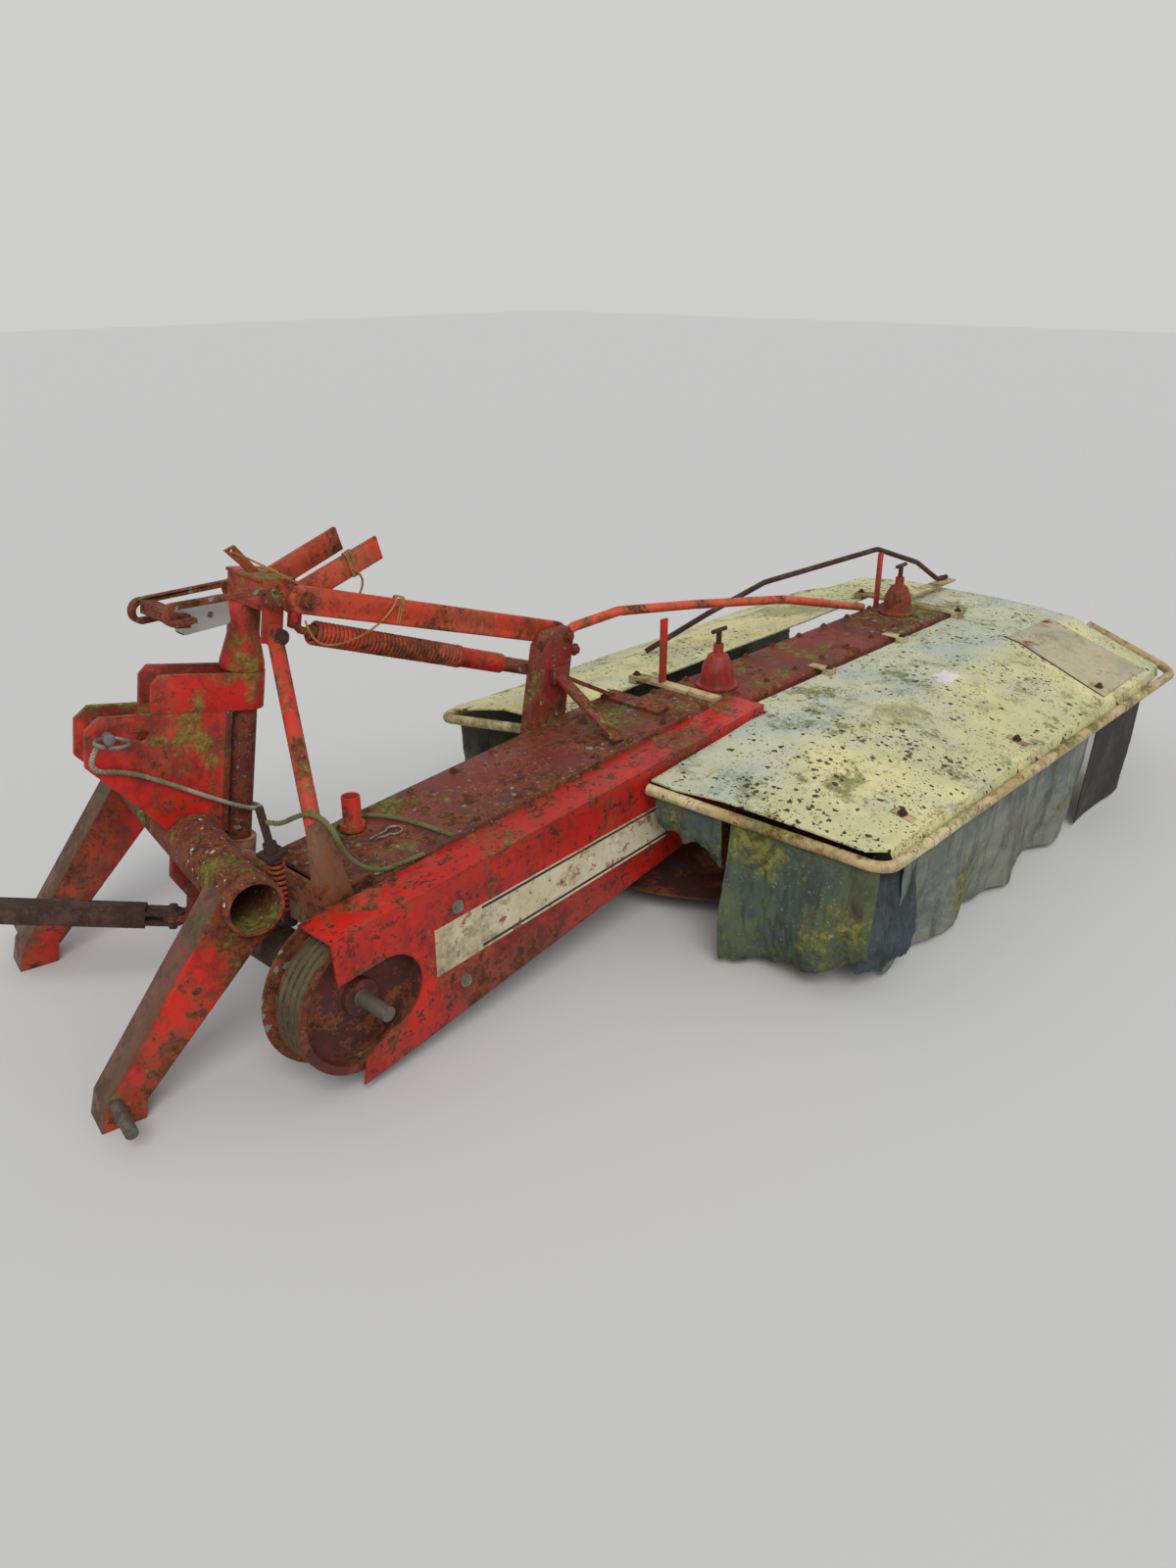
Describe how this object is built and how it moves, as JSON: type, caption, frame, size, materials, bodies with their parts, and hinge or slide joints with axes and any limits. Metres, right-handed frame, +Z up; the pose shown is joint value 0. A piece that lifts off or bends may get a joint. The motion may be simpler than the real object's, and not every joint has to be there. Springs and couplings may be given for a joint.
{
  "type": "drum mower",
  "caption": "Tractor-carried drum mower with swing turret, belt drive, gear case beam, folding guards and canvas curtains, parked on its gliding dishes.",
  "frame": {"origin": "floor level under the inner drum's axis, the underside of the inner gliding dish", "axes": "+X outward along the cutter, +Y forward at work, +Z up"},
  "size_m": [3.5576, 1.8385, 1.0703],
  "materials": {
    "red_paint": "faded gloss with rust",
    "cream_paint": "weathered, with lichen",
    "orange_paint": "faded gloss",
    "bare_steel": "worn",
    "rusty_iron": "rusty",
    "black_paint": "worn",
    "belt_rubber": "matt",
    "flap_rubber": "dusty",
    "curtain_green": "mossy",
    "curtain_grey": "faded",
    "rope_fibre": "dirty twisted fibre"
  },
  "bodies": {
    "hitch": {"cross_tube": "red_paint", "hitch_legs": "red_paint", "lower_link_pins": "bare_steel", "mast_plates": "red_paint", "column_clamp": "red_paint", "column": "red_paint", "top_link_pin": "bare_steel", "stay_bracket": "red_paint", "rope_mast": "rope_fibre"},
    "stay": {"stay_bar": "rusty_iron"},
    "turret": {"king_pin": "red_paint", "turret_head": "red_paint", "latch_links": "red_paint", "lever_bars": "red_paint", "turret_brace": "red_paint", "turret_foot": "orange_paint", "breakaway_spring": "orange_paint", "rope_turret": "rope_fibre"},
    "mower": {"beam": "red_paint", "pivot_tube": "red_paint", "belt_cover": "red_paint", "belt_back_sheet": "red_paint", "shaft_housing": "rusty_iron", "drive_belts": "belt_rubber", "gear_case": "red_paint", "drum_spindles": "rusty_iron", "adjuster_caps": "red_paint", "adjuster_handles": "bare_steel", "post": "red_paint", "post_braces": "orange_paint", "tie_rod": "orange_paint", "cross_bars": "red_paint", "thin_posts": "orange_paint", "guard_rear": "cream_paint", "guard_front": "cream_paint", "rail_rear": "red_paint", "rail_front": "red_paint", "curtain_inner": "curtain_green", "curtain_rear": "curtain_grey", "flap_outer": "flap_rubber", "curtain_front": "curtain_grey", "hoop_bar": "orange_paint", "guard_end": "cream_paint", "rope_beam": "rope_fibre"},
    "input_drive": {"drive_shaft": "bare_steel", "drive_pulley": "rusty_iron"},
    "driven": {"driven_pulley": "rusty_iron"},
    "inner_drum": {"drum_inner": "red_paint", "flare_inner": "red_paint", "knives_inner": "bare_steel"},
    "outer_drum": {"drum_outer": "red_paint", "flare_outer": "red_paint", "knives_outer": "bare_steel"},
    "inner_dish": {"dish_inner": "rusty_iron"},
    "outer_dish": {"dish_outer": "rusty_iron"},
    "link": {"upper_link": "red_paint", "balance_spring": "rusty_iron"}
  },
  "joints": [
    {"name": "swing", "type": "hinge", "parent": "hitch", "child": "turret", "pos_m": [-1.37613, 0.3928, 0.40073], "axis": [0.1598, -0.034, 0.9866], "range_deg": [0, 78]},
    {"name": "lift", "type": "hinge", "parent": "turret", "child": "mower", "pos_m": [-1.392, 0.12, 0.338], "axis": [0, 1, 0], "range_deg": [0, 16]},
    {"name": "link_pivot", "type": "hinge", "parent": "mower", "child": "link", "pos_m": [-0.425, 0.246, 0.697], "axis": [0, 1, 0], "range_deg": [-2, 0]},
    {"name": "stay_swing", "type": "hinge", "parent": "hitch", "child": "stay", "pos_m": [-1.55992, 0.40017, 0.23005], "axis": [0.1598, -0.034, 0.9866], "range_deg": [-15, 40]},
    {"name": "inner_drum_spin", "type": "hinge", "parent": "mower", "child": "inner_drum", "pos_m": [0, 0, 0.2], "axis": [0, 0, 1], "continuous": true},
    {"name": "outer_drum_spin", "type": "hinge", "parent": "mower", "child": "outer_drum", "pos_m": [1.06, 0, 0.2], "axis": [0, 0, 1], "continuous": true},
    {"name": "inner_dish_spin", "type": "hinge", "parent": "mower", "child": "inner_dish", "pos_m": [0, 0, 0.02], "axis": [0, 0, 1], "continuous": true},
    {"name": "outer_dish_spin", "type": "hinge", "parent": "mower", "child": "outer_dish", "pos_m": [1.06, 0, 0.02], "axis": [0, 0, 1], "continuous": true},
    {"name": "input_spin", "type": "hinge", "parent": "mower", "child": "input_drive", "pos_m": [-1.461, 0, 0.22], "axis": [0, 1, 0], "continuous": true},
    {"name": "driven_spin", "type": "hinge", "parent": "mower", "child": "driven", "pos_m": [-0.12, -0.156, 0.442], "axis": [0, 1, 0], "continuous": true}
  ],
  "couplings": [
    {"joint": "link_pivot", "follows": "lift", "ratio": -0.11},
    {"joint": "outer_drum_spin", "follows": "inner_drum_spin", "ratio": -1},
    {"joint": "input_spin", "follows": "inner_drum_spin", "ratio": 0.2577},
    {"joint": "driven_spin", "follows": "inner_drum_spin", "ratio": 1}
  ]
}
